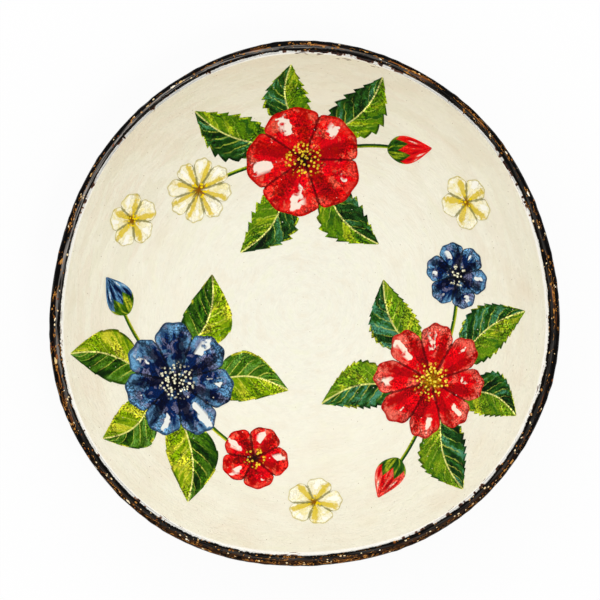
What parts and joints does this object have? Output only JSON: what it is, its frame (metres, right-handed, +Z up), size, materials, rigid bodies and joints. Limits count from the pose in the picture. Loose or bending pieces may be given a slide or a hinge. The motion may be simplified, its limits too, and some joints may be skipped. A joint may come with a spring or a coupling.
{
  "type": "gourd bowl",
  "caption": "Shallow open bowl cut from a gourd, with a flat sanded foot, an ivory coat inside, a dark built-up rim and glued paper flower cut-outs.",
  "frame": {"origin": "middle of the flat sanded foot, on the surface that the bowl rests on", "axes": "+Z up along the bowl's axis, out of its mouth; +Y towards the edge that is at the top of the picture; +X to its right"},
  "size_m": [0.1965, 0.2025, 0.0555],
  "materials": {
    "gourd_skin": "satin",
    "ivory_coat": "satin",
    "dark_edging": "gloss",
    "red_paper": "satin",
    "blue_paper": "satin",
    "white_paper": "satin",
    "dark_green_paper": "satin",
    "light_green_paper": "satin",
    "green_paper": "satin"
  },
  "bodies": {
    "root": {"gourd_shell": "gourd_skin", "ivory_lining": "ivory_coat", "rim_edging": "dark_edging", "poppy_blossom": "red_paper", "poppy_companion": "white_paper", "poppy_bud": "red_paper", "poppy_companion_stem": "dark_green_paper", "poppy_bud_stem": "dark_green_paper", "poppy_leaf_1": "dark_green_paper", "poppy_leaf_2": "dark_green_paper", "poppy_leaf_3": "dark_green_paper", "poppy_leaf_4": "dark_green_paper", "poppy_leaf_5": "dark_green_paper", "anemone_blossom": "blue_paper", "anemone_companion": "red_paper", "anemone_bud": "blue_paper", "anemone_companion_stem": "light_green_paper", "anemone_bud_stem": "light_green_paper", "anemone_leaf_1": "light_green_paper", "anemone_leaf_2": "light_green_paper", "anemone_leaf_3": "light_green_paper", "anemone_leaf_4": "light_green_paper", "anemone_leaf_5": "light_green_paper", "cosmos_blossom": "red_paper", "cosmos_companion": "blue_paper", "cosmos_bud": "red_paper", "cosmos_companion_stem": "green_paper", "cosmos_bud_stem": "green_paper", "cosmos_leaf_1": "green_paper", "cosmos_leaf_2": "green_paper", "cosmos_leaf_3": "green_paper", "cosmos_leaf_4": "green_paper", "cosmos_leaf_5": "green_paper", "floret_1": "white_paper", "floret_2": "white_paper", "floret_3": "white_paper"}
  },
  "joints": []
}
